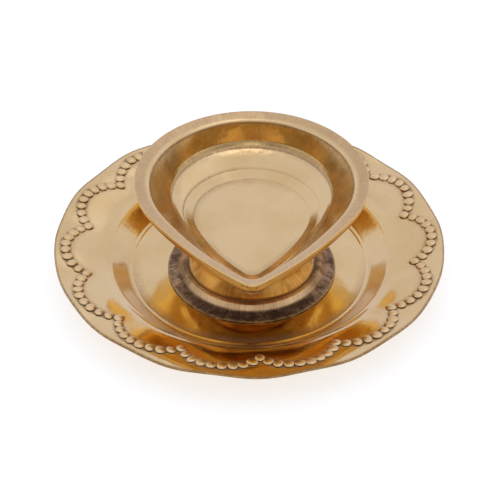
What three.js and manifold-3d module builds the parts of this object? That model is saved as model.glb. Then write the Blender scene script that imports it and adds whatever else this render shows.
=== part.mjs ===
// A brass diya oil lamp on its plate: a round pressed plate with a scalloped bead line, and a
// leaf-shaped cast oil bowl screwed to a low turned foot, which stands loose in the plate's well.
// Millimetres, +Z up. The origin is the middle of the plate's underside, on the table.
// The bowl's tip, where the wick lies, points to -Y.
import * as THREE from 'three';
import Module from 'manifold-3d';
import { mergeVertices } from 'three/addons/utils/BufferGeometryUtils.js';

// Plate: a disc of sheet with a flat well, a sloping wall and a wide rim of fourteen petals.
const SHEET = 0.8;
const PLATE_RADIUS = 64;
const WELL_RADIUS = 39.4;
const WALL_TOP_RADIUS = 46;
const WALL_TOP_HEIGHT = 6.3;
const SHOULDER_RADIUS = 47.2;
const SHOULDER_HEIGHT = 7.2;
const RIM_HEIGHT = 11;
const RIM_FLATTENING = 2.2;
const PETALS = 14;
const PETAL_TURN = THREE.MathUtils.degToRad(3.25);
const PETAL_WAVE = 0.45;

// The bead line follows one round scallop in each petal.
const SCALLOP_RADIUS = 13.8;
const SCALLOP_CENTRE = 46.5;
const BEAD_HALF_WIDTH = 1.7;
const BEAD_HEIGHT = 0.5;

// Lamp: where it stands in the well, and its own heights above the well's floor.
const LAMP_OFFSET_X = 0.8;
const LAMP_OFFSET_Y = -1.9;
const LAMP_HEIGHT = 32;
const FOOT_RADIUS = 27.8;
const FOOT_HEIGHT = 14.4;
const NECK_RADIUS = 16.4;
const FOOT_WALL = 1.7;

// The bowl's leaf outlines, from the floor out to the rim's edge. Each has a round back, two
// long curved sides and a rounded tip.
const FLOOR_EDGE = { back: 18.9, backY: 4.3, side: 60, tip: 3.5, tipY: -22.4 };
const STEP_TOP = { back: 22.4, backY: 4.4, side: 80, tip: 4, tipY: -27 };
const WALL_BASE = { back: 26.8, backY: 11.4, side: 95, tip: 4.5, tipY: -31.6 };
const RIM_MOUTH = { back: 33.5, backY: 6.8, side: 112, tip: 4.5, tipY: -37.3 };
const RIM_EDGE = { back: 38, backY: 7, side: 120, tip: 5, tipY: -40.8 };
// How far to each side of the wall's foot its crease is eased.
const WALL_EASING = 1;
const OUTLINES = [FLOOR_EDGE, STEP_TOP, WALL_BASE, RIM_MOUTH, RIM_EDGE];
const BOWL_FLOOR_HEIGHT = 18.7;

// The screw and washer that hold the bowl down on the foot from inside.
const JOINT_GAP = 0.05;
const THREAD_GAP = 0.3;
const SCREW_RADIUS = 2;
const SCREW_REACH = 2.6;
const HEAD_RADIUS = 3.9;
const HEAD_HEIGHT = 2.4;
const SLOT_WIDTH = 1;
const SLOT_DEPTH = 1.1;
const WASHER_RADIUS = 5.5;
const WASHER_THICKNESS = 1;

// Segments round each turned shape.
const PLATE_SEGMENTS = PETALS * 10;
const LAMP_SEGMENTS = 72;
const SMALL_SEGMENTS = 24;

const BRASS = { color: 0xc9a46a, metalness: 1 };
const polishedPlate = new THREE.MeshStandardMaterial({ ...BRASS, roughness: 0.16 });
const polishedCast = new THREE.MeshStandardMaterial({ ...BRASS, roughness: 0.2 });
const dullTurned = new THREE.MeshStandardMaterial({ color: 0x8a6c42, metalness: 1, roughness: 0.42 });
const screwBrass = new THREE.MeshStandardMaterial({ color: 0xb89454, metalness: 1, roughness: 0.35 });

const wasm = await Module();
wasm.setup();

// A shape turned about +Z from rings of [radius, height]. The rings run round the section so
// that the solid lies on their left, and they start and end on the axis or close on themselves.
// place, where given, says how one ring lies at one angle, for shapes that aren't quite round.
function turned(rings, segments, place = ([radius, height]) => [radius, height]) {
  const section = rings.map(([radius, height]) => new THREE.Vector2(radius, height));
  const geometry = new THREE.LatheGeometry(section, segments);
  const position = geometry.getAttribute('position');
  for (let k = 0; k < position.count; k += 1) {
    const column = Math.floor(k / rings.length) % segments;
    const angle = (2 * Math.PI * column) / segments;
    const [radius, height] = place(rings[k % rings.length], angle);
    position.setXYZ(k, radius * Math.cos(angle), radius * Math.sin(angle), height);
  }
  geometry.deleteAttribute('uv');
  geometry.computeVertexNormals();
  return geometry;
}

function solid(geometry) {
  const bare = geometry.clone();
  bare.deleteAttribute('normal');
  bare.deleteAttribute('uv');
  const merged = mergeVertices(bare, 1e-4);
  const corners = Array.from(merged.index.array);
  const triVerts = [];
  for (let k = 0; k < corners.length; k += 3) {
    const [a, b, c] = corners.slice(k, k + 3);
    if (a !== b && b !== c && c !== a) triVerts.push(a, b, c);
  }
  return new wasm.Manifold(new wasm.Mesh({
    numProp: 3,
    vertProperties: new Float32Array(merged.getAttribute('position').array),
    triVerts: new Uint32Array(triVerts),
  }));
}

function geometryOf(manifold) {
  const mesh = manifold.getMesh();
  const geometry = new THREE.BufferGeometry();
  geometry.setAttribute('position', new THREE.BufferAttribute(mesh.vertProperties, 3));
  geometry.setIndex(new THREE.BufferAttribute(mesh.triVerts, 1));
  geometry.computeVertexNormals();
  return geometry;
}

// Distance from the plate's centre to the bead line at an angle from a petal's middle.
function scallop(angle) {
  const pitch = (2 * Math.PI) / PETALS;
  const turn = angle - pitch * Math.round(angle / pitch);
  const across = SCALLOP_CENTRE * Math.sin(turn);
  return SCALLOP_CENTRE * Math.cos(turn) + Math.sqrt(SCALLOP_RADIUS ** 2 - across ** 2);
}

// Height of the rim's upper side, which rises outwards, flattens, and waves petal by petal.
function rimHeight(radius, angle) {
  const t = (radius - SHOULDER_RADIUS) / (PLATE_RADIUS - SHOULDER_RADIUS);
  const rise = (RIM_HEIGHT - SHOULDER_HEIGHT + RIM_FLATTENING) * t - RIM_FLATTENING * t * t;
  return SHOULDER_HEIGHT + rise + PETAL_WAVE * t * Math.cos(PETALS * angle);
}

// One side of the sheet, from the middle out. A ring is [radius, height], and a bead ring also
// has its distance from the bead line and how far it stands above the rim.
function plateSide(drop) {
  const beads = [[-1, 0], [-0.6, 0.75], [0, 1], [0.6, 0.75], [1, 0]];
  return [
    [0, SHEET - drop],
    [WELL_RADIUS - 0.8, SHEET - drop],
    [WELL_RADIUS - 0.2, SHEET + 0.35 - drop],
    [WELL_RADIUS + 0.6, SHEET + 0.3 - drop],
    [WALL_TOP_RADIUS, WALL_TOP_HEIGHT - drop],
    [SHOULDER_RADIUS, SHOULDER_HEIGHT - drop],
    ...beads.map(([across, up]) => [56 + across, 9.5, across * BEAD_HALF_WIDTH, up * BEAD_HEIGHT - drop]),
    [PLATE_RADIUS, RIM_HEIGHT, null, -drop],
  ];
}

function plateRing([radius, height, across, lift], angle) {
  if (lift === undefined) return [radius, height];
  const turn = angle - PETAL_TURN;
  const place = across === null ? radius : scallop(turn) + across;
  return [place, rimHeight(place, turn) + lift];
}

// Distance from the lamp's axis to a leaf outline at an angle from +X. The ray from the axis
// meets the back arc, a side arc or the tip arc.
function leaf(outline, angle) {
  const direction = new THREE.Vector2(Math.abs(Math.cos(angle)), Math.sin(angle));
  const back = new THREE.Vector2(0, outline.backY);
  const tip = new THREE.Vector2(0, outline.tipY);
  const span = outline.backY - outline.tipY;
  const toBack = outline.side - outline.back;
  const toTip = outline.side - outline.tip;
  const above = (toTip ** 2 - toBack ** 2 - span ** 2) / (2 * span);
  const side = new THREE.Vector2(-Math.sqrt(toBack ** 2 - above ** 2), outline.backY + above);
  const meetBack = back.clone().sub(side).setLength(outline.side).add(side);
  const meetTip = tip.clone().sub(side).setLength(outline.side).add(side);
  const steepness = direction.y / Math.max(direction.x, 1e-9);
  const reach = (centre, radius) => {
    const along = centre.dot(direction);
    return along + Math.sqrt(radius ** 2 - centre.lengthSq() + along ** 2);
  };
  if (steepness >= meetBack.y / meetBack.x) return reach(back, outline.back);
  if (steepness >= meetTip.y / meetTip.x) return reach(side, outline.side);
  return reach(tip, outline.tip);
}

// Where a round section's radius lies on the leaf: a radius that equals an outline's back
// radius lies on that outline, and one in between lies in between.
function pulled(radius, angle) {
  const levels = [[0, 0], ...OUTLINES.map((outline) => [outline.back, leaf(outline, angle)])];
  const k = Math.max(1, levels.findIndex(([level]) => radius <= level));
  const [[low, near], [high, far]] = [levels[k - 1], levels[k]];
  return THREE.MathUtils.mapLinear(radius, low, high, near, far);
}

// The same, with the crease at the foot of the bowl's wall eased into a hollow.
function eased(radius, angle) {
  const nearness = 1.5 - Math.abs(radius - WALL_BASE.back) / (2 * WALL_EASING);
  const spread = WALL_EASING * THREE.MathUtils.clamp(nearness, 0, 1);
  const sides = pulled(radius - spread, angle) + pulled(radius + spread, angle);
  return pulled(radius, angle) / 2 + sides / 4;
}

// The bowl's section. A ring is [radius, height, how round it is]: 0 takes the leaf's shape and
// 1 stays a circle.
const holeRadius = SCREW_RADIUS + THREAD_GAP;
const seat = FOOT_HEIGHT + JOINT_GAP;
const bowlRings = [
  [0, seat + SCREW_REACH + THREAD_GAP, 1],
  [holeRadius, seat + SCREW_REACH + THREAD_GAP, 1],
  [holeRadius, seat, 1],
  [17, seat, 1],
  [18.6, 15.5, 0.97],
  [22.5, 17.2, 0.26],
  [26.5, 19.4, 0],
  [29.6, 21.8, 0],
  [32.8, 24.8, 0],
  [36, 27.6, 0],
  [37.3, 29, 0],
  [RIM_EDGE.back, 30.8, 0],
  [RIM_EDGE.back, LAMP_HEIGHT, 0],
  [RIM_MOUTH.back + 1.2, 31.15, 0],
  [RIM_MOUTH.back + 0.3, 30.8, 0],
  [RIM_MOUTH.back - 0.4, 30.25, 0],
  [RIM_MOUTH.back - 1, 29.6, 0],
  [WALL_BASE.back + 0.7, 23.4, 0],
  [WALL_BASE.back - 0.2, 22.6, 0],
  [WALL_BASE.back - 1.1, 22, 0],
  [24.6, 21.35, 0],
  [STEP_TOP.back, 20.75, 0],
  [STEP_TOP.back - 0.8, 20.3, 0],
  [FLOOR_EDGE.back, BOWL_FLOOR_HEIGHT, 0],
  [0, BOWL_FLOOR_HEIGHT, 0],
];

function bowlRing([radius, height, roundness], angle) {
  return [THREE.MathUtils.lerp(eased(radius, angle), radius, roundness), height];
}

// The foot: a hollow turned pedestal. A flat ring rests on the plate, the flange slopes up to a
// rounded ridge, and a concave neck carries a flat top with the screw's hole.
const footRings = [
  [holeRadius, FOOT_HEIGHT - FOOT_WALL],
  [NECK_RADIUS - 2.6, FOOT_HEIGHT - FOOT_WALL],
  [NECK_RADIUS - FOOT_WALL, 10.6],
  [NECK_RADIUS - 1.2, 7],
  [17, 3.6],
  [19.5, 1.9],
  [23, 1.3],
  [FOOT_RADIUS - 2.4, 0],
  [FOOT_RADIUS, 0],
  [FOOT_RADIUS, 0.5],
  [FOOT_RADIUS - 0.8, 0.95],
  [24.6, 1.65],
  [23.2, 3.15],
  [22.6, 3.55],
  [21.5, 3.6],
  [20.8, 3.25],
  [20, 3.4],
  [18.3, 4.7],
  [17.2, 6.4],
  [NECK_RADIUS + 0.1, 9],
  [NECK_RADIUS, FOOT_HEIGHT],
  [holeRadius, FOOT_HEIGHT],
  [holeRadius, FOOT_HEIGHT - FOOT_WALL],
];

const washerTop = FOOT_HEIGHT - FOOT_WALL - JOINT_GAP;
const washerBottom = washerTop - WASHER_THICKNESS;
const washerRings = [
  [holeRadius, washerBottom],
  [WASHER_RADIUS, washerBottom],
  [WASHER_RADIUS, washerTop],
  [holeRadius, washerTop],
  [holeRadius, washerBottom],
];

// A pan-headed screw, head down, with a straight slot across the head.
function screw() {
  const headTop = washerBottom - JOINT_GAP;
  const headBottom = headTop - HEAD_HEIGHT;
  const rings = [
    [0, headBottom],
    [HEAD_RADIUS - 1, headBottom],
    [HEAD_RADIUS - 0.2, headBottom + 0.7],
    [HEAD_RADIUS, headBottom + 1.5],
    [HEAD_RADIUS, headTop],
    [SCREW_RADIUS, headTop],
    [SCREW_RADIUS, seat + SCREW_REACH - 0.5],
    [SCREW_RADIUS - 0.5, seat + SCREW_REACH],
    [0, seat + SCREW_REACH],
  ];
  const slot = new THREE.BoxGeometry(SLOT_WIDTH, 3 * HEAD_RADIUS, 2 * SLOT_DEPTH);
  slot.translate(0, 0, headBottom);
  return geometryOf(solid(turned(rings, SMALL_SEGMENTS)).subtract(solid(slot)));
}

function piece(name, geometry, material) {
  const mesh = new THREE.Mesh(geometry, material);
  mesh.name = name;
  return mesh;
}

const plateRings = [...plateSide(SHEET), ...plateSide(0).reverse()];

const lamp = new THREE.Group();
lamp.position.set(LAMP_OFFSET_X, LAMP_OFFSET_Y, SHEET);
lamp.add(
  piece('oil_bowl', turned(bowlRings, LAMP_SEGMENTS, bowlRing), polishedCast),
  piece('foot', turned(footRings, LAMP_SEGMENTS), dullTurned),
  piece('washer', turned(washerRings, SMALL_SEGMENTS), screwBrass),
  piece('fixing_screw', screw(), screwBrass),
);

const diya = new THREE.Group();
diya.add(piece('plate', turned(plateRings, PLATE_SEGMENTS, plateRing), polishedPlate), lamp);

export default diya;
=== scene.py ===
"""Looks of a brass diya oil lamp on its plate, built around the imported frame."""

import logging
import math
from dataclasses import dataclass, field
from enum import Enum
from typing import Callable, Sequence

import bpy
import numpy as np
from mathutils import Matrix, Vector


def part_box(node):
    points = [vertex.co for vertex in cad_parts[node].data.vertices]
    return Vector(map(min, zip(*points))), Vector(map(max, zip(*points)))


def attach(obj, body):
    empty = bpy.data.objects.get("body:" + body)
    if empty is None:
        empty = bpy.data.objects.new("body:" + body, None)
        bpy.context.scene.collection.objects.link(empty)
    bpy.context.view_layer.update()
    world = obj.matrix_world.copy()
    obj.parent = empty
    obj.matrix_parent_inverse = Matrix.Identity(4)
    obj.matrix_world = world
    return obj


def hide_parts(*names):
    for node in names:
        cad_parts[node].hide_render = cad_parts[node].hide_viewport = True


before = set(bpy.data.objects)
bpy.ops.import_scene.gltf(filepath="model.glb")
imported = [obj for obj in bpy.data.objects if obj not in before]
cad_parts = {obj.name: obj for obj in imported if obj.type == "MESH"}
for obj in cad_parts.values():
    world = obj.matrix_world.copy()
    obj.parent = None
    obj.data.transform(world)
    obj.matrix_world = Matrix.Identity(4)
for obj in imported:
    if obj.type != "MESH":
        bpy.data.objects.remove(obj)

log = logging.getLogger("diya")

MM = 0.001

# The vertex attribute that holds how a pattern runs round a turned piece and along its section.
# A millimetre of height counts for this many millimetres of radius.
WRAP = "wrap"
WRAP_RISE = 1.7

# Vertices that are nearer to each other than this become one, in metres.
MERGE_GAP = 0.004 * MM

# The smallest radius that anything is divided by, in millimetres.
TINY = 1e-6

Pair = tuple[float, float]
Triple = tuple[float, float, float]
Colour = tuple[float, float, float, float]
Socket = bpy.types.NodeSocket


class Body(Enum):
    """The bodies that a piece can ride on."""

    PLATE = "root"
    LAMP = "lamp"


class Mark(Enum):
    """Marks that a finish can show, each held by the mesh as a value from 0 to 1. The golden one is a
    painted golden reflection; satin is filed brass and, on the foot's ridge, a painted highlight; dull
    is tarnish and painted shade; grime is darkening in lines and bands, partly painted shade.
    """

    GOLD = "golden_reflection"
    SATIN = "satin"
    DULL = "dull"
    ROUGH = "rough"
    GRIME = "grime_and_shade"


class Slot(Enum):
    """The names of the record's material slots."""

    SHEET = "polished_brass"
    CAST = "cast_brass"
    TURNED = "dull_brass"


@dataclass(frozen=True)
class Place:
    """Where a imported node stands: its axis, its half width and its lower side, in metres."""

    x: float
    y: float
    half_width: float
    low: float

    @classmethod
    def of(cls, node: str) -> "Place":
        """Measures a node of the frame.

        Args:
            node: The node's name.

        Returns:
            The place that its box takes up.
        """
        low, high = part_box(node)
        middle = (low + high) / 2
        return cls(middle.x, middle.y, (high.x - low.x) / 2, low.z)


# ---------------------------------------------------------------- sections and turning


@dataclass(frozen=True)
class Corner:
    """A corner of a turned section, in millimetres, with the radius that rounds it."""

    radius: float
    height: float
    round: float = 0.0
    steps: int = 6


def rounded(corners: Sequence[Corner]) -> list[Pair]:
    """Rounds the corners of an open section with arcs that meet both sides smoothly.

    Args:
        corners: The section's corners from one end to the other.

    Returns:
        The section as points, in millimetres.
    """
    points = [(corners[0].radius, corners[0].height)]
    for before, here, after in zip(corners, corners[1:], corners[2:]):
        at = Vector((here.radius, here.height))
        back = Vector((before.radius, before.height)) - at
        ahead = Vector((after.radius, after.height)) - at
        half = back.angle(ahead) / 2
        straight = abs(half - math.pi / 2) < 1e-4
        if here.round == 0 or straight:
            points.append(tuple(at))
            continue
        length = here.round / math.tan(half)
        start = at + back.normalized() * length
        middle = (back.normalized() + ahead.normalized()).normalized()
        centre = at + middle * here.round / math.sin(half)
        arm = start - centre
        sweep = math.pi - 2 * half
        side = 1 if back.x * ahead.y - back.y * ahead.x < 0 else -1
        for k in range(here.steps + 1):
            turn = Matrix.Rotation(side * sweep * k / here.steps, 2)
            points.append(tuple(centre + turn @ arm))
    points.append((corners[-1].radius, corners[-1].height))
    return points


def spaced(points: Sequence[Pair], step: float, middle: float = 0.0) -> list[Pair]:
    """Adds points along the long straight stretches of a section.

    Args:
        points: The section, in millimetres.
        step: The longest gap that stays, in millimetres.
        middle: Stretches that reach inside this radius get a wider gap, as they are flat.

    Returns:
        The section with more points.
    """
    flat_step = 4 * step
    dense = [points[0]]
    for a, b in zip(points, points[1:]):
        gap = flat_step if min(a[0], b[0]) < middle else step
        count = max(1, math.ceil(math.dist(a, b) / gap))
        for k in range(1, count + 1):
            dense.append((a[0] + (b[0] - a[0]) * k / count, a[1] + (b[1] - a[1]) * k / count))
    return dense


def pick(*pieces: bpy.types.Object) -> None:
    """Args:
        *pieces: The pieces, of which the first becomes the active one.
    """
    bpy.ops.object.select_all(action="DESELECT")
    for piece in pieces:
        piece.select_set(True)
    bpy.context.view_layer.objects.active = pieces[0] if pieces else None


def turn_section(name: str, section: Sequence[Pair], segments: int) -> bpy.types.Object:
    """Draws a section by extruding a vertex along it and spins it round the Z axis.

    Args:
        name: The new object's name.
        section: The section's points as radius and height, in millimetres.
        segments: How many steps the full turn has.

    Returns:
        The turned object. Where its section is closed, its faces point outwards.
    """
    pick()
    first = (section[0][0] * MM, 0, section[0][1] * MM)
    bpy.ops.mesh.primitive_circle_add(vertices=3, radius=MM, location=(0, 0, 0))
    piece = bpy.context.object
    piece.name = name
    bpy.ops.object.mode_set(mode="EDIT")
    bpy.ops.mesh.merge(type="CENTER")
    bpy.ops.transform.translate(value=first)
    for a, b in zip(section, section[1:]):
        step = ((b[0] - a[0]) * MM, 0, (b[1] - a[1]) * MM)
        bpy.ops.mesh.extrude_region_move(TRANSFORM_OT_translate={"value": step})
    bpy.ops.mesh.select_all(action="SELECT")
    bpy.ops.mesh.spin(steps=segments, angle=2 * math.pi, center=(0, 0, 0), axis=(0, 0, 1))
    bpy.ops.mesh.select_all(action="SELECT")
    bpy.ops.mesh.remove_doubles(threshold=MERGE_GAP)
    bpy.ops.mesh.normals_make_consistent(inside=False)
    bpy.ops.object.mode_set(mode="OBJECT")
    points = vertices(piece)
    radius = np.maximum(radii(points), TINY)
    around = points[:, :2] / radius[:, None]
    along = radius + WRAP_RISE * points[:, 2]
    wrap = piece.data.attributes.new(WRAP, "FLOAT_VECTOR", "POINT")
    wrap.data.foreach_set("vector", np.column_stack([around, along]).ravel())
    return piece


def vertices(piece: bpy.types.Object) -> np.ndarray:
    """Reads a mesh's vertices.

    Args:
        piece: The object.

    Returns:
        The vertices as an n by 3 array, in millimetres.
    """
    flat = np.empty(len(piece.data.vertices) * 3)
    piece.data.vertices.foreach_get("co", flat)
    return flat.reshape(-1, 3) / MM


def radii(points: np.ndarray) -> np.ndarray:
    """Distances of an n by 3 array of points from the Z axis."""
    return np.hypot(points[:, 0], points[:, 1])


def angles(points: np.ndarray) -> np.ndarray:
    """Angles of an n by 3 array of points about the Z axis, from +X, in radians."""
    return np.arctan2(points[:, 1], points[:, 0])


def ahead_of(points: np.ndarray) -> np.ndarray:
    """How far round to the front points lie: 1 on the side of the bowl's tip and -1 behind."""
    return -points[:, 1] / np.maximum(radii(points), TINY)


def stain(piece: bpy.types.Object, mark: Mark, amount: np.ndarray) -> None:
    """Writes how strongly a mark shows at each vertex.

    Args:
        piece: The object.
        mark: Which mark it is.
        amount: One value for each vertex, which is kept between 0 and 1.
    """
    layer = piece.data.attributes.new(mark.value, "FLOAT", "POINT")
    layer.data.foreach_set("value", np.clip(amount, 0, 1))


def band(value: np.ndarray, low: float | np.ndarray, high: float, soft: float) -> np.ndarray:
    """Makes a mask that is 1 over a range and fades to 0 on both sides of it.

    Args:
        value: What the mask goes by.
        low: Where the range starts.
        high: Where the range ends.
        soft: How far outside the range the mask reaches 0.

    Returns:
        The mask, one number for each value.
    """
    rise = np.clip((value - low) / soft + 1, 0, 1)
    fall = np.clip((high - value) / soft + 1, 0, 1)
    return rise * fall


def face_up(piece: bpy.types.Object) -> None:
    """Turns an open sheet's faces upwards, so that its thickness goes down.

    Args:
        piece: The sheet.
    """
    if sum(face.normal.z * face.area for face in piece.data.polygons) > 0:
        return
    pick(piece)
    bpy.ops.object.mode_set(mode="EDIT")
    bpy.ops.mesh.select_all(action="SELECT")
    bpy.ops.mesh.flip_normals()
    bpy.ops.object.mode_set(mode="OBJECT")


def reshape(piece: bpy.types.Object, move: Callable[[np.ndarray], np.ndarray]) -> None:
    """Moves every vertex of a mesh by a rule.

    Args:
        piece: The object to shape.
        move: Takes the vertices as an n by 3 array, in millimetres, and returns the new ones.
    """
    piece.data.vertices.foreach_set("co", (move(vertices(piece)) * MM).ravel())
    piece.data.update()


def settle(piece: bpy.types.Object, angle: float = 50.0) -> None:
    """Puts a finished object's place into its mesh and smooths its shading.

    Args:
        piece: The object.
        angle: Edges sharper than this, in degrees, stay sharp.
    """
    pick(piece)
    bpy.ops.object.transform_apply(location=True, rotation=True, scale=True)
    bpy.ops.object.shade_smooth_by_angle(angle=math.radians(angle))


# ---------------------------------------------------------------- finishes


class Nodes:
    """A small helper that wires the nodes of one material or world."""

    def __init__(self, owner: bpy.types.Material | bpy.types.World) -> None:
        """Empties the owner's nodes.

        Args:
            owner: The material or the world that the nodes belong to.
        """
        owner.use_nodes = True
        self.tree = owner.node_tree
        self.tree.nodes.clear()

    def add(self, kind: str, **settings: object) -> bpy.types.Node:
        """Adds a node.

        Args:
            kind: The node's type.
            **settings: The node's properties by name.

        Returns:
            The node.
        """
        node = self.tree.nodes.new(kind)
        for key, value in settings.items():
            setattr(node, key, value)
        return node

    def link(self, value: object, socket: bpy.types.NodeSocket) -> None:
        """Feeds a socket.

        Args:
            value: Another socket or a plain value.
            socket: The input that takes it.
        """
        if isinstance(value, bpy.types.NodeSocket):
            self.tree.links.new(value, socket)
        else:
            socket.default_value = value

    def math(self, operation: str, a: object, b: object = 0.0, c: object = 0.0) -> Socket:
        """Adds a math node.

        Args:
            operation: What it works out.
            a: The first value or socket.
            b: The second one.
            c: The third one, for operations that have it.

        Returns:
            The node's output.
        """
        node = self.add("ShaderNodeMath", operation=operation)
        for value, socket in zip((a, b, c), node.inputs):
            self.link(value, socket)
        return node.outputs[0]

    def place(self) -> Socket:
        """Returns the object coordinates, in metres."""
        return self.add("ShaderNodeTexCoord").outputs["Object"]

    def mark(self, mark: Mark) -> Socket:
        """Returns how strongly a mark shows."""
        return self.add("ShaderNodeAttribute", attribute_name=mark.value).outputs["Fac"]

    def stretched(self, vector: Socket, scale: Triple) -> Socket:
        """Scales a vector axis by axis.

        Args:
            vector: The vector.
            scale: The factor for each axis.

        Returns:
            The scaled vector.
        """
        node = self.add("ShaderNodeVectorMath", operation="MULTIPLY")
        self.link(vector, node.inputs[0])
        node.inputs[1].default_value = scale
        return node.outputs[0]

    def wrapped(self, around: float, along: float) -> Socket:
        """Makes coordinates that run round a turned piece and along its section.

        Args:
            around: How fine the pattern is round the piece.
            along: How fine the pattern is along the section, for each millimetre.

        Returns:
            The coordinates.
        """
        source = self.add("ShaderNodeAttribute", attribute_name=WRAP).outputs["Vector"]
        return self.stretched(source, (around, around, along))

    def noise(self, vector: Socket, scale: float, detail: float = 2.0, rough: float = 0.5) -> Socket:
        """Adds a noise texture.

        Args:
            vector: The coordinates that it follows.
            scale: How fine it is.
            detail: How many finer layers it has.
            rough: How strong the finer layers are.

        Returns:
            The noise's value.
        """
        node = self.add("ShaderNodeTexNoise")
        self.link(vector, node.inputs["Vector"])
        node.inputs["Scale"].default_value = scale
        node.inputs["Detail"].default_value = detail
        node.inputs["Roughness"].default_value = rough
        return node.outputs[0]

    def span(self, value: Socket, low: float, high: float, to: Pair = (0.0, 1.0)) -> Socket:
        """Maps a range of values onto another one, smoothly and clamped.

        Args:
            value: What is mapped.
            low: Where the range starts.
            high: Where the range ends.
            to: The range that it becomes.

        Returns:
            The mapped value.
        """
        node = self.add("ShaderNodeMapRange", interpolation_type="SMOOTHSTEP")
        self.link(value, node.inputs["Value"])
        node.inputs["From Min"].default_value = low
        node.inputs["From Max"].default_value = high
        node.inputs["To Min"].default_value = to[0]
        node.inputs["To Max"].default_value = to[1]
        return node.outputs[0]

    def bump(
        self, height: Socket, strength: float, depth: float, normal: Socket | None = None
    ) -> Socket:
        """Turns a height into a normal.

        Args:
            height: The height, from 0 to 1.
            strength: How strongly it shows.
            depth: How deep the relief is, in metres.
            normal: An earlier normal that it lies on.

        Returns:
            The new normal.
        """
        node = self.add("ShaderNodeBump")
        node.inputs["Strength"].default_value = strength
        node.inputs["Distance"].default_value = depth
        self.link(height, node.inputs["Height"])
        if normal is not None:
            self.link(normal, node.inputs["Normal"])
        return node.outputs[0]

    def mix(self, share: Socket, a: object, b: object) -> Socket:
        """Mixes two colours.

        Args:
            share: How much of the second colour there is.
            a: The first colour.
            b: The second colour.

        Returns:
            The mixed colour.
        """
        node = self.add("ShaderNodeMix", data_type="RGBA")
        self.link(share, node.inputs[0])
        self.link(a, node.inputs[6])
        self.link(b, node.inputs[7])
        return node.outputs[2]


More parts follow.
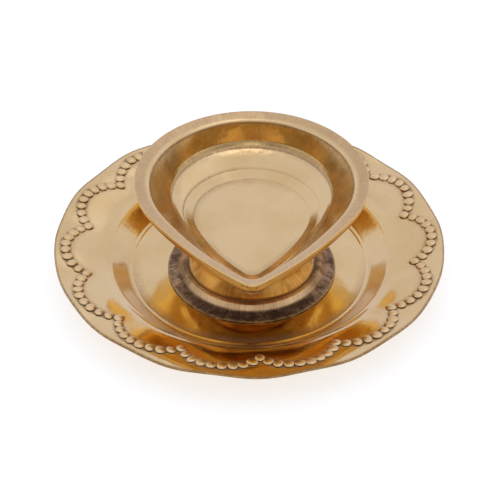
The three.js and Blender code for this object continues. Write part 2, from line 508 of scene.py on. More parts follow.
@dataclass(frozen=True)
class Brass:
    """A brass finish: its colours, gloss and surface marks.

    The scales say how fine each pattern is, in steps a metre, and around and along say it for
    the brushing, in steps a radian and a millimetre. A mark's roughness is added to the
    finish's own. The grain's turn is a share of a full turn.
    """

    name: str
    colour: Colour = (0.77, 0.54, 0.22, 1)
    shade: Colour = (0.72, 0.485, 0.18, 1)
    cast: Colour = (0.88, 0.64, 0.22, 1)
    # The golden colours paint a golden reflection. The satin colours are filed brass, and a painted
    # highlight on the foot's ridge. Dull is tarnish and painted shade, and grime is darkening that is
    # partly painted shade.
    golden_reflection: Colour = (0.78, 0.52, 0.16, 1)
    golden_reflection_dark: Colour = (0.64, 0.40, 0.12, 1)
    satin: Colour = (0.74, 0.49, 0.19, 1)
    satin_and_highlight_dark: Colour = (0.64, 0.43, 0.18, 1)
    dull: Colour = (0.13, 0.07, 0.03, 1)
    dull_light: Colour = (0.42, 0.27, 0.13, 1)
    speck: Colour = (0.4, 0.2, 0.08, 1)
    grime_and_shade: Colour = (0.17, 0.065, 0.017, 1)
    roughness: float = 0.12
    unevenness: float = 0.05
    smoothest: float = 0.02
    satin_roughness: float = 0.2
    dull_roughness: float = 0.25
    cast_roughness: float = 0.06
    grime_roughness: float = 0.3
    cast_metal: float = 0.9
    grime_metal: float = 0.4
    cloud_scale: float = 60
    reflection_streak_scale: float = 110
    ripple_scale: float = 120
    haze_scale: float = 220
    wear_scale: float = 260
    grime_scale: float = 900
    speck_scale: float = 2600
    speck_strength: float = 0.5
    grime_low: float = 0.55
    ripple: float = 0.18
    ripple_depth: float = 0.4 * MM
    brushing: float = 0.12
    brushing_depth: float = 0.06 * MM
    around: float = 70.0
    along: float = 0.25
    coat: float = 0.15
    coat_roughness: float = 0.12
    specular: float = 0.2
    anisotropy: float = 0.0
    grain_turn: float = 0.25

    def make(self) -> bpy.types.Material:
        """Builds the material.

        Returns:
            The finished material.
        """
        material = bpy.data.materials.new(self.name)
        nodes = Nodes(material)
        place = nodes.place()
        output = nodes.add("ShaderNodeOutputMaterial")
        shader = nodes.add("ShaderNodeBsdfPrincipled")
        shader.inputs["Coat Roughness"].default_value = self.coat_roughness
        shader.inputs["Specular IOR Level"].default_value = self.specular
        shader.inputs["Anisotropic"].default_value = self.anisotropy
        shader.inputs["Anisotropic Rotation"].default_value = self.grain_turn

        streaks = nodes.noise(nodes.wrapped(self.around, self.along), 1.0, 3, 0.6)
        marks = {mark: nodes.mark(mark) for mark in Mark}
        patches = nodes.noise(place, self.grime_scale, 3, 0.7)
        patchy = nodes.span(patches, 0.3, 0.62, (self.grime_low, 1.0))
        marks[Mark.GRIME] = nodes.math("MULTIPLY", marks[Mark.GRIME], patchy)
        nodes.link(self.tint(nodes, place, streaks, marks), shader.inputs["Base Color"])
        nodes.link(self.metal(nodes, marks), shader.inputs["Metallic"])
        nodes.link(self.lacquer(nodes, marks), shader.inputs["Coat Weight"])
        nodes.link(self.gloss(nodes, place, marks), shader.inputs["Roughness"])
        waves = nodes.bump(nodes.noise(place, self.ripple_scale, 2), self.ripple, self.ripple_depth)
        brushed = nodes.bump(streaks, self.brushing, self.brushing_depth, waves)
        nodes.link(brushed, shader.inputs["Normal"])
        nodes.link(shader.outputs[0], output.inputs["Surface"])
        return material

    def tint(self, nodes: Nodes, place: Socket, streaks: Socket, marks: dict[Mark, Socket]) -> Socket:
        """Mixes the colour: bare brass under a painted golden reflection, cast metal, satin with a
        painted highlight, dull metal with painted shade, specks, and grime with painted shade.

        Args:
            nodes: The material's nodes.
            place: The object coordinates.
            streaks: The brushing.
            marks: How strongly each mark shows.

        Returns:
            The colour.
        """
        clouds = nodes.span(nodes.noise(place, self.cloud_scale, 4), 0.35, 0.7)
        colour = nodes.mix(clouds, self.colour, self.shade)
        # A painted golden reflection, streaked along the brushing.
        golden_reflection_streaks = nodes.math("MULTIPLY", nodes.noise(place, self.reflection_streak_scale, 3), 0.55)
        golden_reflection_streaks = nodes.math("MULTIPLY_ADD", streaks, 0.45, golden_reflection_streaks)
        golden_reflection_streaks = nodes.mix(nodes.span(golden_reflection_streaks, 0.4, 0.6), self.golden_reflection_dark, self.golden_reflection)
        colour = nodes.mix(marks[Mark.GOLD], colour, golden_reflection_streaks)
        colour = nodes.mix(marks[Mark.ROUGH], colour, self.cast)
        # Filed satin brass, and a painted highlight where the foot's ridge takes it.
        satin_and_highlight_tone = nodes.mix(nodes.span(streaks, 0.35, 0.7), self.satin_and_highlight_dark, self.satin)
        colour = nodes.mix(marks[Mark.SATIN], colour, satin_and_highlight_tone)
        # Dull tarnish, which also carries painted shade.
        dulled_and_shaded = nodes.math("MULTIPLY", nodes.noise(place, self.wear_scale, 4, 0.65), 0.5)
        dulled_and_shaded = nodes.math("MULTIPLY_ADD", streaks, 0.5, dulled_and_shaded)
        dulled_and_shaded = nodes.mix(nodes.span(dulled_and_shaded, 0.42, 0.62), self.dull, self.dull_light)
        colour = nodes.mix(marks[Mark.DULL], colour, dulled_and_shaded)
        dots = nodes.noise(place, self.speck_scale, 1)
        specks = nodes.span(dots, 0.67, 0.76, (0.0, self.speck_strength))
        colour = nodes.mix(specks, colour, self.speck)
        # Grime, which also carries painted shade.
        return nodes.mix(marks[Mark.GRIME], colour, self.grime_and_shade)

    def metal(self, nodes: Nodes, marks: dict[Mark, Socket]) -> Socket:
        """Works out how metallic the surface is, which is less where it is cast, grimy or painted with
        shade.

        Args:
            nodes: The material's nodes.
            marks: How strongly each mark shows.

        Returns:
            The share of metal.
        """
        metal = nodes.math("MULTIPLY_ADD", marks[Mark.ROUGH], self.cast_metal - 1, 1.0)
        return nodes.math("MULTIPLY_ADD", marks[Mark.GRIME], self.grime_metal - 1, metal)

    def lacquer(self, nodes: Nodes, marks: dict[Mark, Socket]) -> Socket:
        """Works out where the clear coat lies, which satin, highlighted, dull, grimy and shaded places
        lack.

        Args:
            nodes: The material's nodes.
            marks: How strongly each mark shows.

        Returns:
            The coat's weight.
        """
        bare = nodes.math("SUBTRACT", 1.0, marks[Mark.SATIN])
        for mark in (Mark.DULL, Mark.GRIME):
            bare = nodes.math("MULTIPLY", bare, nodes.math("SUBTRACT", 1.0, marks[mark]))
        return nodes.math("MULTIPLY", bare, self.coat)

    def gloss(self, nodes: Nodes, place: Socket, marks: dict[Mark, Socket]) -> Socket:
        """Works out the roughness: a soft haze, and more of it on each mark.

        Args:
            nodes: The material's nodes.
            place: The object coordinates.
            marks: How strongly each mark shows.

        Returns:
            The roughness.
        """
        low = max(self.smoothest, self.roughness - self.unevenness)
        haze = nodes.noise(place, self.haze_scale, 3)
        rough = nodes.span(haze, 0.3, 0.7, (low, self.roughness + self.unevenness))
        rough = nodes.math("MULTIPLY_ADD", marks[Mark.SATIN], self.satin_roughness, rough)
        rough = nodes.math("MULTIPLY_ADD", marks[Mark.DULL], self.dull_roughness, rough)
        rough = nodes.math("MULTIPLY_ADD", marks[Mark.ROUGH], self.cast_roughness, rough)
        return nodes.math("MULTIPLY_ADD", marks[Mark.GRIME], self.grime_roughness, rough)


@dataclass(frozen=True)
class Paper:
    """The pale floor's finish, which glows a little so that it stays near white."""

    name: str = "floor_paper"
    colour: Colour = (0.42, 0.40, 0.30, 1)
    glow_colour: Colour = (1, 1, 1, 1)
    glow: float = 0.7
    roughness: float = 0.9
    specular: float = 0.1

    def make(self) -> bpy.types.Material:
        """Builds the material.

        Returns:
            The finished material.
        """
        material = bpy.data.materials.new(self.name)
        material.use_nodes = True
        shader = material.node_tree.nodes["Principled BSDF"]
        shader.inputs["Base Color"].default_value = self.colour
        shader.inputs["Emission Color"].default_value = self.glow_colour
        shader.inputs["Emission Strength"].default_value = self.glow
        shader.inputs["Roughness"].default_value = self.roughness
        shader.inputs["Specular IOR Level"].default_value = self.specular
        return material


SHEET_BRASS = Brass("polished_sheet_brass", roughness=0.09, unevenness=0.04)
BEAD_BRASS = Brass("pressed_bead_brass", roughness=0.32)
# Its golden colours paint the wall's golden reflection.
CAST_BRASS = Brass(
    "cast_brass",
    golden_reflection=(0.77, 0.50, 0.16, 1),
    golden_reflection_dark=(0.58, 0.37, 0.12, 1),
    ripple=0.25,
    brushing=0.3,
    around=110,
)
# Its golden colours paint the neck's reflection, and its light satin colours a painted highlight on
# the ridge.
TURNED_BRASS = Brass(
    "turned_brass",
    golden_reflection=(0.74, 0.37, 0.065, 1),
    golden_reflection_dark=(0.32, 0.12, 0.013, 1),
    satin=(1.0, 0.70, 0.32, 1),
    satin_and_highlight_dark=(0.66, 0.41, 0.15, 1),
    dull=(0.07, 0.033, 0.013, 1),
    dull_light=(0.56, 0.36, 0.18, 1),
    grime_and_shade=(0.07, 0.028, 0.008, 1),
    roughness=0.2,
    brushing=0.6,
    around=150,
    anisotropy=0.6,
    coat=0.0,
)
FIXING_BRASS = Brass("fixing_brass", roughness=0.35)


def dress(piece: bpy.types.Object, material: bpy.types.Material) -> None:
    """Gives a piece a material, in place of any that it has."""
    piece.data.materials.clear()
    piece.data.materials.append(material)


def hand_over(piece: bpy.types.Object, body: Body, node: str = "") -> None:
    """Tells the frame what a piece is.

    Args:
        piece: The finished piece.
        body: The body that it moves with.
        node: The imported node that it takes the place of, if there is one.
    """
    if node:
        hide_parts(node)
    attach(piece, body.value)


# ---------------------------------------------------------------- the plate


@dataclass
class Plate:
    """The pressed plate: a flat well, a sloping wall and a rim of petals with a bead line.

    Sizes are in millimetres. The petals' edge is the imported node's, and the upper side's drawn
    edge stays inside it, as the thickness goes down at right angles to the slope. A bead faces
    along the line between points that lie a nudge, in radians, to both sides of it.
    """

    place: Place = field(default_factory=lambda: Place.of("plate"))
    sheet: float = 0.8
    well: float = 39.4
    wall_top: float = 46.0
    wall_height: float = 6.3
    shoulder: float = 47.2
    shoulder_height: float = 7.2
    shoulder_blend: float = 2.0
    rim_height: float = 11.0
    edge_inset: float = 0.15
    flattening: float = 2.2
    petals: int = 14
    turn: float = math.radians(3.25)
    wave: float = 0.45
    scallop_radius: float = 13.8
    scallop_centre: float = 46.5
    beads_per_petal: int = 9
    bead_size: Triple = (1.62, 1.8, 0.48)
    bead_segments: int = 14
    bead_rings: int = 10
    bead_sink: float = 0.2
    bead_nudge: float = 0.004
    bead_slant: float = math.radians(-20)
    bead_spread: float = 0.1
    bead_twist: float = math.radians(7)
    seed: int = 11
    segments: int = 504

    @property
    def pitch(self) -> float:
        """The angle that one petal takes up, in radians."""
        return 2 * math.pi / self.petals

    def scallop(self, angle: np.ndarray) -> np.ndarray:
        """Distance from the plate's centre to the bead line.

        Args:
            angle: Angles from a petal's middle, in radians.

        Returns:
            The distances, in millimetres.
        """
        turn = angle - self.pitch * np.round(angle / self.pitch)
        across = self.scallop_centre * np.sin(turn)
        return self.scallop_centre * np.cos(turn) + np.sqrt(self.scallop_radius**2 - across**2)

    def rim(self, radius: np.ndarray, angle: np.ndarray) -> np.ndarray:
        """Height of the rim's upper side.

        Args:
            radius: Distances from the centre, in millimetres.
            angle: Angles from a petal's middle, in radians.

        Returns:
            The heights, in millimetres.
        """
        t = (radius - self.shoulder) / (self.place.half_width / MM - self.shoulder)
        rise = (self.rim_height - self.shoulder_height + self.flattening) * t - self.flattening * t * t
        return self.shoulder_height + rise + self.wave * t * np.cos(self.petals * angle)

    def waved(self, points: np.ndarray) -> np.ndarray:
        """Lifts the rim's points to the petals' height.

        Args:
            points: The turned sheet's points, in millimetres.

        Returns:
            The points with the rim in its place.
        """
        radius = radii(points)
        share = np.clip((radius - self.shoulder) / self.shoulder_blend, 0, 1)
        moved = points.copy()
        moved[:, 2] += share * (self.rim(radius, angles(points) - self.turn) - points[:, 2])
        return moved

    def build(self) -> bpy.types.Object:
        """Turns the sheet's upper side, waves the rim and gives the sheet its thickness.

        Returns:
            The plate.
        """
        edge = self.place.half_width / MM - self.edge_inset
        corners = [
            Corner(0, self.sheet),
            # The ring pressed into the foot of the wall.
            Corner(self.well - 0.8, self.sheet, 0.2, 3),
            Corner(self.well - 0.2, self.sheet + 0.4, 0.45, 6),
            Corner(self.well + 0.7, self.sheet + 0.2, 0.3, 4),
            # The wall, and the rim before its petals are waved.
            Corner(self.wall_top, self.wall_height, 5.0, 8),
            Corner(self.shoulder + 3, self.shoulder_height + 0.9),
            Corner(edge, self.rim_height),
        ]
        section = spaced(rounded(corners), 0.75, self.well - 1)
        plate = turn_section("plate_sheet", section, self.segments)
        reshape(plate, self.waved)
        face_up(plate)
        self.weather(plate)
        solid = plate.modifiers.new("sheet", "SOLIDIFY")
        solid.thickness = self.sheet * MM
        solid.offset = -1
        pick(plate)
        bpy.ops.object.modifier_apply(modifier=solid.name)
        settle(plate)
        return plate

    def weather(self, plate: bpy.types.Object) -> None:
        """Marks dark bands along the bead line and on the edge, and painted shade at the foot of the
        wall.

        Args:
            plate: The open sheet.
        """
        points = vertices(plate)
        radius = radii(points)
        across = radius - self.scallop(angles(points) - self.turn)
        beads = 0.65 * band(across, -1.6, 1.6, 0.5) + 0.15 * band(across, -2.2, 1.5, 1.2)
        # Painted shade: a dark line on both sides of the pressed ring, on the side of the bowl's tip.
        front = np.clip(0.2 + 1.3 * ahead_of(points), 0, 1)
        inner = band(radius, self.well - 0.9, self.well - 0.8, 0.25)
        outer = band(radius, self.well + 0.6, self.well + 0.7, 0.25)
        edge = 0.8 * band(radius, self.place.half_width / MM - 0.3, math.inf, 0.5)
        stain(plate, Mark.GRIME, beads + 0.4 * front * (inner + outer) + edge)

    def bead(self) -> bpy.types.Object:
        """Models one slanted bead with its flat side down, darker towards its foot.

        Returns:
            The bead, at the origin.
        """
        pick()
        bpy.ops.mesh.primitive_uv_sphere_add(
            segments=self.bead_segments, ring_count=self.bead_rings, radius=MM
        )
        bead = bpy.context.object
        cut = (0, 0, -self.bead_sink * MM)
        bpy.ops.object.mode_set(mode="EDIT")
        bpy.ops.mesh.select_all(action="SELECT")
        bpy.ops.mesh.bisect(plane_co=cut, plane_no=(0, 0, 1), clear_inner=True)
        bpy.ops.mesh.select_all(action="SELECT")
        bpy.ops.transform.resize(value=self.bead_size)
        bpy.ops.mesh.select_all(action="SELECT")
        bpy.ops.transform.rotate(value=self.bead_slant, orient_axis="Z", center_override=(0, 0, 0))
        bpy.ops.object.mode_set(mode="OBJECT")
        up = vertices(bead)[:, 2] / self.bead_size[2]
        stain(bead, Mark.GRIME, 0.7 - 1.6 * up)
        return bead

    def bead_angles(self) -> np.ndarray:
        """Spaces one petal's beads evenly along its scallop.

        Returns:
            The beads' angles from the petal's middle, in radians.
        """
        half = math.pi / self.petals
        fine = np.linspace(-half, half, 400)
        reach = self.scallop(fine)
        steps = np.hypot(np.diff(reach), reach[:-1] * np.diff(fine))
        length = np.concatenate([[0], np.cumsum(steps)])
        wanted = np.arange(self.beads_per_petal) / self.beads_per_petal * length[-1]
        return np.interp(wanted, length, fine)

    def bead_place(self, petal: int, angle: float) -> Matrix:
        """Works out where a bead sits on the rim and which way it faces.

        Args:
            petal: The petal's number.
            angle: The bead's angle from the petal's middle, in radians.

        Returns:
            The place, with X along the bead line, Y towards the axis and Z away from the rim.
        """
        near = np.array([angle - self.bead_nudge, angle, angle + self.bead_nudge])
        reach = self.scallop(near)
        turned = near + petal * self.pitch + self.turn
        height = self.rim(reach, near)
        track = np.column_stack([reach * np.cos(turned), reach * np.sin(turned), height])
        forward = Vector(track[2] - track[0]).normalized()
        across = Vector((-math.sin(turned[1]), math.cos(turned[1]), 0))
        # How much the rim rises over the millimetre that the bead line is in the middle of.
        slope = self.rim(reach + 0.5, near)[1] - self.rim(reach - 0.5, near)[1]
        outward = Vector((math.cos(turned[1]), math.sin(turned[1]), slope)).normalized()
        normal = outward.cross(across).normalized()
        inward = normal.cross(forward).normalized()
        axes = Matrix((forward, inward, normal)).transposed().to_4x4()
        return Matrix.Translation(Vector(track[1]) * MM) @ axes

    def bead_line(self) -> bpy.types.Object:
        """Copies one bead along every petal's scallop, each a little different, and joins them.

        Returns:
            The whole bead line.
        """
        bead = self.bead()
        bead.name = "bead_line"
        copies = []
        chance = np.random.default_rng(self.seed)
        for petal in range(self.petals):
            for angle in self.bead_angles():
                copy = bead.copy()
                copy.data = bead.data.copy()
                bpy.context.scene.collection.objects.link(copy)
                size = chance.uniform(1 - self.bead_spread, 1 + self.bead_spread, 3)
                twist = Matrix.Rotation(chance.normal(0, self.bead_twist), 4, "Z")
                shape = twist @ Matrix.Diagonal((*size, 1))
                copy.matrix_world = self.bead_place(petal, angle) @ shape
                copies.append(copy)
        bpy.data.objects.remove(bead)
        pick(*copies)
        bpy.ops.object.join()
        line = bpy.context.object
        line.name = "bead_line"
        settle(line, 60)
        return line

    def make(self) -> list[bpy.types.Object]:
        """Builds and dresses the sheet and its bead line.

        Returns:
            Both pieces.
        """
        sheet = self.build()
        dress(sheet, SHEET_BRASS.make())
        hand_over(sheet, Body.PLATE, "plate")
        line = self.bead_line()
        dress(line, BEAD_BRASS.make())
        hand_over(line, Body.PLATE)
        return [sheet, line]


# ---------------------------------------------------------------- the lamp


@dataclass(frozen=True)
class Leaf:
    """A leaf outline: a round back, two long curved sides and a rounded tip, in millimetres."""

    back_radius: float
    back_centre: float
    side_radius: float
    tip_radius: float
    tip_centre: float

    def reach(self, angle: np.ndarray) -> np.ndarray:
        """Distance from the lamp's axis to the outline.

        Args:
            angle: Angles from +X, in radians.

        Returns:
            The distances, in millimetres.
        """
        span = self.back_centre - self.tip_centre
        to_back = self.side_radius - self.back_radius
        to_tip = self.side_radius - self.tip_radius
        above = (to_tip**2 - to_back**2 - span**2) / (2 * span)
        side = np.array([-math.sqrt(to_back**2 - above**2), self.back_centre + above])
        back = np.array([0, self.back_centre])
        tip = np.array([0, self.tip_centre])
        meet_back = side + (back - side) * self.side_radius / to_back
        meet_tip = side + (tip - side) * self.side_radius / to_tip
        ray = np.stack([np.abs(np.cos(angle)), np.sin(angle)], axis=-1)
        polar = np.arctan2(ray[:, 1], ray[:, 0])

        def meet(centre: np.ndarray, radius: float) -> np.ndarray:
            """Where the rays leave a circle with this centre and radius."""
            along = ray @ centre
            return along + np.sqrt(np.maximum(radius**2 - centre @ centre + along**2, 0))

        on_back = polar >= math.atan2(meet_back[1], meet_back[0])
        on_side = polar >= math.atan2(meet_tip[1], meet_tip[0])
        front = np.where(on_side, meet(side, self.side_radius), meet(tip, self.tip_radius))
        return np.where(on_back, meet(back, self.back_radius), front)


@dataclass
class Bowl:
    """The cast oil bowl. Its section is drawn round, and each level then takes its leaf outline.

    Sizes are in millimetres, and heights count from the foot's lower side.
    """

    foot: Place = field(default_factory=lambda: Place.of("foot"))
    rim_edge: Leaf = Leaf(38.0, 7.0, 120.0, 5.0, -40.8)
    rim_mouth: Leaf = Leaf(33.5, 6.8, 112.0, 4.5, -37.3)
    wall_base: Leaf = Leaf(26.8, 11.4, 95.0, 4.5, -31.6)
    step_top: Leaf = Leaf(22.4, 4.4, 80.0, 4.0, -27.0)
    floor_edge: Leaf = Leaf(18.9, 4.3, 60.0, 3.5, -22.4)
    floor: float = 18.7
    seat: float = 14.45
    leaf_height: float = 18.2
    round_height: float = 15.2
    easing: float = 1.0
    segments: int = 288

    def levels(self) -> tuple[Leaf, ...]:
        """The outlines from the floor out to the rim's edge."""
        return (self.floor_edge, self.step_top, self.wall_base, self.rim_mouth, self.rim_edge)

    def build(self) -> bpy.types.Object:
        """Turns the bowl's section round and pulls it out to the leaf outlines.

        Returns:
            The bowl.
        """
        floor, step, wall, mouth, edge = (leaf.back_radius for leaf in self.levels())
        corners = [
            # The boss on the foot and the hull up to the rim.
            Corner(0, self.seat),
            Corner(17.0, self.seat, 0.5),
            Corner(18.6, 15.6, 2.0),
            Corner(26.5, 19.2, 20.0, 10),
            Corner(32.6, 24.6, 20.0, 10),
            Corner(edge - 0.5, 28.8, 2.6, 8),
            # The filed rim, the wall down into the bowl, the step and the floor.
            Corner(edge, 32.0, 0.35, 4),
            Corner(mouth, 30.9, 1.6, 8),
            Corner(wall, 22.5, 2.6, 10),
            Corner(24.6, 21.3, 10.0, 5),
            Corner(step, 20.75, 1.0, 5),
            Corner(step - 0.8, 20.35, 0.6, 5),
            Corner(floor, self.floor, 0.6, 6),
            Corner(0, self.floor),
        ]
        bowl = turn_section("oil_bowl_cast", spaced(rounded(corners), 0.5, 16), self.segments)
        self.weather(bowl)
        reshape(bowl, self.pulled)
        bowl.location = (self.foot.x, self.foot.y, self.foot.low)
        settle(bowl)
        return bowl

    def pulled(self, points: np.ndarray) -> np.ndarray:
        """Moves each point out to the leaf of its level, and leaves the boss below round.

        Args:
            points: The round bowl's points, in millimetres.

        Returns:
            The points of the leaf-shaped bowl.
        """
        angle = angles(points)
        radius = radii(points)
        # Near the foot of the wall, three radii are averaged, so that the leaves blend.
        off = np.abs(radius - self.wall_base.back_radius)
        ease = self.easing * np.clip(1.5 - off / (2 * self.easing), 0, 1)
        out = 0.5 * self.reach(radius, angle)
        out += 0.25 * (self.reach(radius - ease, angle) + self.reach(radius + ease, angle))
        factor = out / np.maximum(radius, TINY)
        fade = self.leaf_height - self.round_height
        roundness = np.clip((self.leaf_height - points[:, 2]) / fade, 0, 1)
        roundness = roundness * roundness * (3 - 2 * roundness)
        factor = factor + (1 - factor) * roundness
        moved = points.copy()
        moved[:, :2] *= factor[:, None]
        return moved

    def reach(self, radius: np.ndarray, angle: np.ndarray) -> np.ndarray:
        """Where points of the round section lie between the leaves of the levels.

        Args:
            radius: Distances from the axis in the round section, in millimetres.
            angle: Angles about the axis, in radians.

        Returns:
            The distances from the axis in the finished bowl.
        """
        shares = [0.0] + [leaf.back_radius for leaf in self.levels()]
        reaches = [np.zeros(len(angle))] + [leaf.reach(angle) for leaf in self.levels()]
        out = np.zeros(len(angle))
        for low, high, near, far in zip(shares, shares[1:], reaches, reaches[1:]):
            share = np.clip((radius - low) / (high - low), 0, 1)
            out += share * (far - near)
        return out

    def weather(self, bowl: bpy.types.Object) -> None:
        """Marks the filed rim, the painted golden reflection, painted shade on the hull and on the
        rim's back, and the dark lines and blotches.

        Args:
            bowl: The bowl while its levels are still round.
        """
        floor, step, wall, mouth, edge = (leaf.back_radius for leaf in self.levels())
        points = vertices(bowl)
        radius = radii(points)
        ahead = ahead_of(points)
        tip = np.clip(ahead * 3 - 1, 0, 1)
        # The upper side is what lies above the middle of the bowl's thickness.
        middle = np.interp(radius, (0, 19, 25.5, 32.3, edge), (16.5, 17, 19.6, 26.6, 31))
        upper = np.clip((points[:, 2] - middle) / 0.4, 0, 1)
        stain(bowl, Mark.SATIN, upper * band(radius, mouth + 0.9, edge - 0.4, 0.5))
        stain(bowl, Mark.ROUGH, (1 - upper) * np.clip(29.0 - points[:, 2], 0, 1))
        # Painted shade on the underside round the boss, under the bowl.
        under_shade = 0.5 * (1 - upper) * np.clip((18.3 - points[:, 2]) / 2.4, 0, 1)
        rim = band(radius, mouth + 1.5, edge - 0.4, 0.5)
        # Painted shade: the rim darkens towards its back, away from the tip.
        dulled_and_shaded = 0.16 * upper * np.clip(1.2 - ahead * 1.5, 0, 1) * rim
        stain(bowl, Mark.DULL, under_shade + dulled_and_shaded)
        # Painted golden reflection on the wall, on crescents at the floor's edge towards the tip, and
        # on a band at the tip.
        golden_reflection = band(radius, wall, mouth - 0.6, 0.35)
        golden_reflection += np.clip(ahead * 2 + 0.6, 0, 1) * band(radius, floor + 0.2, step - 0.8, 0.3)
        golden_reflection += 0.8 * tip * band(radius, step - 0.8, wall, 0.4)
        stain(bowl, Mark.GOLD, upper * golden_reflection)
        # Darker lines in the creases of the step, more at the back on the left.
        left = np.clip(0.65 - 0.6 * points[:, 0] / np.maximum(radius, TINY), 0, 1)
        back = left * np.clip(0.8 - ahead * 2, 0, 1)
        grime_and_shade = 0.5 * back * band(radius, step - 0.1, step, 0.3)
        grime_and_shade += 0.45 * back * band(radius, floor, floor + 0.1, 0.3)
        grime_and_shade += 0.3 * tip * band(radius, floor - 0.1, floor, 0.3)
        # Darker lines under the rim and at the foot of the wall, and two blotches on its back half.
        grime_and_shade += 0.55 * band(radius, mouth - 0.7, mouth - 0.5, 0.3)
        grime_and_shade += 0.4 * band(radius, wall - 0.45, wall - 0.35, 0.25)
        grime_and_shade += 0.22 * band(radius, wall - 0.3, wall + 0.6, 0.3)
        from_back = np.degrees(np.arccos(np.clip(-ahead, -1, 1)))
        blotches = band(from_back, 48, 84, 16) * band(radius, wall + 2.2, mouth - 1.2, 1.2)
        stain(bowl, Mark.GRIME, upper * (grime_and_shade + 0.3 * blotches))

    def make(self) -> list[bpy.types.Object]:
        """Builds and dresses the bowl.

        Returns:
            The bowl, as the only piece.
        """
        bowl = self.build()
        dress(bowl, CAST_BRASS.make())
        hand_over(bowl, Body.LAMP, "oil_bowl")
        return [bowl]


@dataclass
class Foot:
    """The hollow turned foot under the bowl, with its sizes in millimetres."""

    place: Place = field(default_factory=lambda: Place.of("foot"))
    hole: float = 2.3
    neck: float = 16.4
    wall: float = 1.7
    height: float = 14.4
    segments: int = 256

    def build(self) -> bpy.types.Object:
        """Turns the foot from its section.

        Returns:
            The foot.
        """
        edge = self.place.half_width / MM
        under = self.height - self.wall
        corners = [
            # The inside, from the screw's hole down to the edge.
            Corner(self.hole, under),
            Corner(self.neck - 2.6, under, 1.0),
            Corner(self.neck - self.wall, 9.0, 6.0),
            Corner(16.2, 3.9, 4.0),
            Corner(20.0, 1.6, 3.0),
            Corner(edge - 3.0, 0.9, 0.5),
            Corner(edge - 2.4, 0),
            # The edge and the flange.
            Corner(edge, 0, 0.15, 3),
            Corner(edge, 0.7, 0.25, 4),
            Corner(edge - 0.8, 0.95, 0.3, 3),
            # The ridge with the groove behind it, and the neck up to the bowl.
            Corner(24.6, 1.6, 0.8, 5),
            Corner(22.9, 3.55, 0.9, 8),
            Corner(21.5, 3.65, 0.3, 3),
            Corner(20.8, 3.15, 0.3, 4),
            Corner(20.0, 3.4, 0.8, 5),
            Corner(17.0, 6.0, 6.0, 8),
            Corner(self.neck, 10.5, 20.0, 8),
            Corner(self.neck, self.height, 0.2, 3),
            Corner(self.hole, self.height),
            Corner(self.hole, under),
        ]
        foot = turn_section("foot_turned", spaced(rounded(corners), 0.7), self.segments)
        self.weather(foot)
        foot.location = (self.place.x, self.place.y, self.place.low)
        settle(foot)
        return foot

    def weather(self, foot: bpy.types.Object) -> None:
        """Marks the tarnished flange, a painted highlight on the ridge's front, a painted golden
        reflection on the neck, and a dark ring with painted shade on the flange's front and along the
        edge.

        Args:
            foot: The foot, still at the origin.
        """
        points = vertices(foot)
        radius = radii(points)
        ahead = ahead_of(points)
        # The outside is what lies above the middle of the foot's wall.
        middle = np.interp(radius, (15, 17, 20, 28), (13, 4.5, 1.9, 0.6))
        outside = band(points[:, 2], middle, math.inf, 0.3)
        flange = band(radius, 24.7, 27.3, 0.5)
        ridge = band(radius, 21.4, 24.4, 0.3)
        # A painted highlight on the ridge's front, on the side of the bowl's tip, where the ridge's
        # tarnish gives way to it.
        front_highlight = np.clip(ahead * 2.2 - 0.8, 0, 1)
        tarnish = 0.95 * flange + (0.8 - 0.8 * front_highlight) * ridge
        stain(foot, Mark.DULL, 1 - outside + outside * tarnish)
        stain(foot, Mark.SATIN, outside * ridge * front_highlight)
        # A painted golden reflection on the neck.
        stain(foot, Mark.GOLD, outside * band(radius, 0, 20.0, 0.6))
        # A dark ring in the groove, painted shadow along the edge, and painted shade on the flange's
        # front.
        grime_and_shade = 0.7 * band(radius, 20.7, 20.9, 0.4) + 0.4 * band(radius, 27.5, 28, 0.3)
        grime_and_shade += 0.85 * np.clip(ahead * 2.5 - 1.2, 0, 1) * band(radius, 24.5, 27.5, 0.5)
        stain(foot, Mark.GRIME, outside * grime_and_shade)

    def make(self) -> list[bpy.types.Object]:
        """Builds and dresses the foot.

        Returns:
            The foot, as the only piece.
        """
        foot = self.build()
        dress(foot, TURNED_BRASS.make())
        hand_over(foot, Body.LAMP, "foot")
        return [foot]


@dataclass
class Fixings:
    """The washer and the screw inside the foot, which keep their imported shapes."""

    nodes: tuple[str, ...] = ("washer", "fixing_screw")

    def make(self) -> list[bpy.types.Object]:
        """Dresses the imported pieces.

        Returns:
            The pieces.
        """
        material = FIXING_BRASS.make()
        pieces = [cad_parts[node] for node in self.nodes]
        for piece in pieces:
            dress(piece, material)
        return pieces


# ---------------------------------------------------------------- camera and light


@dataclass(frozen=True)
class Patch:
    """A soft round patch of the surroundings, in degrees from -Y (the camera's side) and up."""

    azimuth: float
    elevation: float
    inner: float
    outer: float
    strength: float

    def direction(self) -> Triple:
        """Works out where the patch is.

        Returns:
            The unit vector towards the patch's middle.
        """
        azimuth, elevation = math.radians(self.azimuth), math.radians(self.elevation)
        level = math.cos(elevation)
        return (level * math.sin(azimuth), -level * math.cos(azimuth), math.sin(elevation))

    def glow(self, nodes: Nodes, view: Socket) -> Socket:
        """Wires how bright the patch makes a direction: its strength inside and 1 outside.

        Args:
            nodes: The world's nodes.
            view: The direction.

        Returns:
            The brightness.
        """
        dot = nodes.add("ShaderNodeVectorMath", operation="DOT_PRODUCT")
        nodes.link(view, dot.inputs[0])
        dot.inputs[1].default_value = self.direction()
        outer = math.cos(math.radians(self.outer))
        inner = math.cos(math.radians(self.inner))
        return nodes.span(dot.outputs["Value"], outer, inner, (1.0, self.strength))


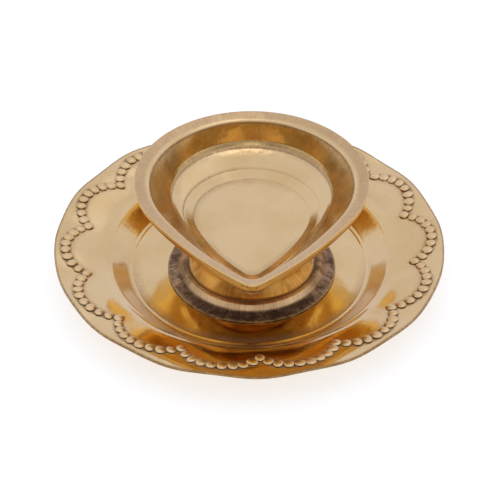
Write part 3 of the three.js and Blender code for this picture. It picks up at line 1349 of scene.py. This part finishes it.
@dataclass
class Studio:
    """A white sweep lit from all round, darker on the camera's side.

    The aim and the distance are in millimetres, the floor's size and the clip range in metres.
    """

    patches: tuple[Patch, ...] = (
        Patch(0, 25, 18, 57, 0.6),
        Patch(0, 45, 6, 18, 2.4),
        Patch(176, 63, 2, 7, 2.1),
        Patch(152, 65, 2, 6, 1.8),
        Patch(165, 47, 4, 10, 1.15),
        Patch(110, 74, 5, 14, 1.15),
        Patch(215, 58, 4, 12, 0.88),
    )
    sky: Colour = (0.86, 0.93, 1.4, 1)
    paper: Paper = Paper()
    floor_size: float = 6
    aim: Triple = (-1.4, 3.9, 5.4)
    distance: float = 500.0
    elevation: float = math.radians(39.63)
    lens: float = 110.1
    sensor: float = 36
    clip: Pair = (0.01, 20)
    gamma: float = 0.9

    def camera(self) -> None:
        """Sets up the camera above the bowl's tip."""
        data = bpy.data.cameras.new("camera")
        data.lens = self.lens
        data.sensor_width = self.sensor
        data.clip_start, data.clip_end = self.clip
        camera = bpy.data.objects.new("camera", data)
        back = Vector((0, -math.cos(self.elevation), math.sin(self.elevation)))
        camera.location = (Vector(self.aim) + back * self.distance) * MM
        camera.rotation_euler = (math.pi / 2 - self.elevation, 0, 0)
        bpy.context.scene.collection.objects.link(camera)
        bpy.context.scene.camera = camera

    def floor(self) -> None:
        """Lays the pale floor under the plate."""
        pick()
        bpy.ops.mesh.primitive_plane_add(size=self.floor_size)
        floor = bpy.context.object
        floor.name = "floor"
        floor.data.materials.append(self.paper.make())

    def world(self) -> None:
        """Makes the surroundings: white all round, with soft darker and brighter patches."""
        world = bpy.data.worlds.new("studio")
        bpy.context.scene.world = world
        nodes = Nodes(world)
        output = nodes.add("ShaderNodeOutputWorld")
        back = nodes.add("ShaderNodeBackground")
        view = nodes.add("ShaderNodeTexCoord").outputs["Generated"]
        strength = 1.0
        for patch in self.patches:
            strength = nodes.math("MULTIPLY", strength, patch.glow(nodes, view))
        nodes.link(strength, back.inputs["Strength"])
        back.inputs["Color"].default_value = self.sky
        nodes.link(back.outputs[0], output.inputs[0])

    def build(self) -> None:
        """Builds camera, floor and surroundings."""
        view = bpy.context.scene.view_settings
        view.view_transform = "Standard"
        view.gamma = self.gamma
        self.camera()
        self.floor()
        self.world()


def main() -> None:
    """Builds the lamp's pieces in order, dresses them and logs their face counts."""
    logging.basicConfig(level=logging.INFO, format="%(name)s: %(message)s")
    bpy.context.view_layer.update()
    Studio().build()
    for part in (Plate(), Bowl(), Foot(), Fixings()):
        for piece in part.make():
            log.info("%s: %d faces", piece.name, len(piece.data.polygons))


if __name__ == "__main__":
    main()
